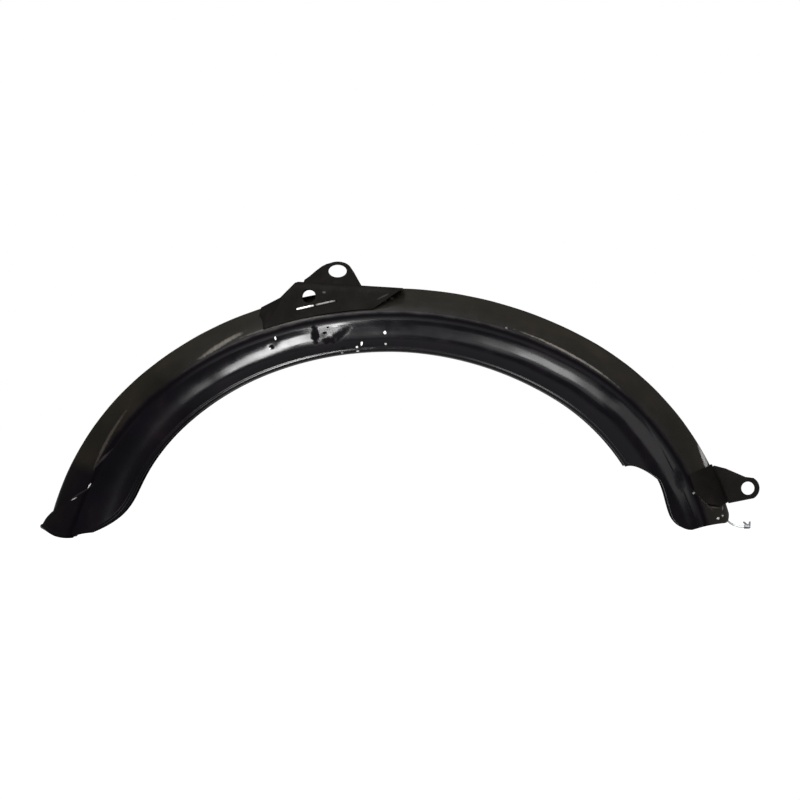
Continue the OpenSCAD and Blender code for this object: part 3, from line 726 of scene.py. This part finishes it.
# Soft boxes on the camera's side: run and depth where each shows on the sheet, and radiance
BOXES = [(200, 235, 46.5, 50, 4.5), (235, 262, 44.5, 51.5, 32), (262, 290, 43.3, 50.3, 62),
         (290, 318, 41.8, 49.4, 125), (318, 356, 39.6, 47.4, 145), (374, 386, 31.5, 41.5, 150),
         (386, 403, 31, 35.5, 120), (400, 440, 40, 52, 3.5), (480, 590, 38, 49.5, 2.4),
         (590, 720, 35.5, 49.5, 4.2), (720, 830, 35, 47, 4.2), (565, 600, 38, 45.5, 5),
         (600, 628, 38.5, 46, 15), (628, 686, 39.8, 46.5, 36), (686, 712, 40, 46.5, 14),
         (712, 745, 39, 46.5, 4)]


def floor_material():
    m, nt, bsdf = node_material("pale_floor")
    colour = grained(nt, 3.0, (0.05, 0.05, 0.05), (0.07, 0.07, 0.07))
    nt.links.new(colour, bsdf.inputs["Base Color"])
    nt.links.new(spread(nt, noise(nt, 40.0), 0.3, 0.7, 0.85, 0.95), bsdf.inputs["Roughness"])
    bsdf.inputs["Specular IOR Level"].default_value = 0.0
    bsdf.inputs["Emission Color"].default_value = (1, 1, 1, 1)
    bsdf.inputs["Emission Strength"].default_value = 1.0
    return m


def make_floor():
    n = FLOOR_HALF
    corners = [(-n, -n, 0), (n, -n, 0), (n, n, 0), (-n, n, 0)]
    floor = mesh_object("studio_floor", corners, [(0, 1, 2, 3)])
    floor.data.materials.append(floor_material())


def near_side(s, d):
    return at(s, -side_y(s, d), d) * MM


def mirror(s, d):
    """Point that the near side mirrors to the camera at station s and depth d."""
    along = near_side(s + 1, d) - near_side(s - 1, d)
    n = np.cross(along, near_side(s, d + 0.5) - near_side(s, d - 0.5))
    n /= np.linalg.norm(n)
    return near_side(s, d) + LAMP_DISTANCE * (np.array([0.0, 1.0, 0.0]) - 2 * n[1] * n)


def soft_box(name, s0, s1, top, low, radiance):
    """A flat lamp whose picture on the near side runs from s0 to s1 and from top to low."""
    s, middle = (s0 + s1) / 2, (top + low) / 2
    start, end = mirror(s, top), mirror(s, low)
    width = float(np.linalg.norm(mirror(s0, middle) - mirror(s1, middle)))
    run = end - start
    long = float(np.linalg.norm(run))
    mid = (start + end) / 2
    y = run / long
    z = mid - near_side(s, middle)
    z = z - y * float(z @ y)
    z /= np.linalg.norm(z)
    x = np.cross(y, z)
    data = bpy.data.lights.new(name, "AREA")
    data.shape = "RECTANGLE"
    data.size = width
    data.size_y = long
    data.energy = radiance * math.pi * width * long
    obj = bpy.data.objects.new(name, data)
    m = np.eye(4)
    m[:3, 0], m[:3, 1], m[:3, 2], m[:3, 3] = x, y, z, mid
    obj.matrix_world = Matrix(m.tolist())
    bpy.context.collection.objects.link(obj)


def make_world():
    """Dim round light, brightest overhead and dark towards both sides, with a pale horizon
    behind the part."""
    world = bpy.data.worlds.new("studio")
    bpy.context.scene.world = world
    world.use_nodes = True
    nt = world.node_tree
    nt.nodes.clear()
    out = nt.nodes.new("ShaderNodeOutputWorld")
    back = nt.nodes.new("ShaderNodeBackground")
    coord = nt.nodes.new("ShaderNodeTexCoord")
    split = nt.nodes.new("ShaderNodeSeparateXYZ")
    nt.links.new(coord.outputs["Generated"], split.inputs[0])
    y, z = split.outputs[1], split.outputs[2]
    low = spread(nt, z, 0.05, 0.11, 1.0, 0.0)
    behind = spread(nt, y, 0.2, 0.7, 0.0, 1.0)
    horizon = math_node(nt, "MULTIPLY", low, behind)
    dome = ramp(nt, spread(nt, y, -1.0, 1.0, 0.0, 1.0), DOME)
    nt.links.new(blend(nt, horizon, dome, (1.0, 1.0, 1.0)), back.inputs["Color"])
    nt.links.new(back.outputs[0], out.inputs[0])


make_floor()
make_world()
for i, box in enumerate(BOXES):
    soft_box("box_%02d" % i, *box)
bpy.context.scene.view_settings.view_transform = "Standard"
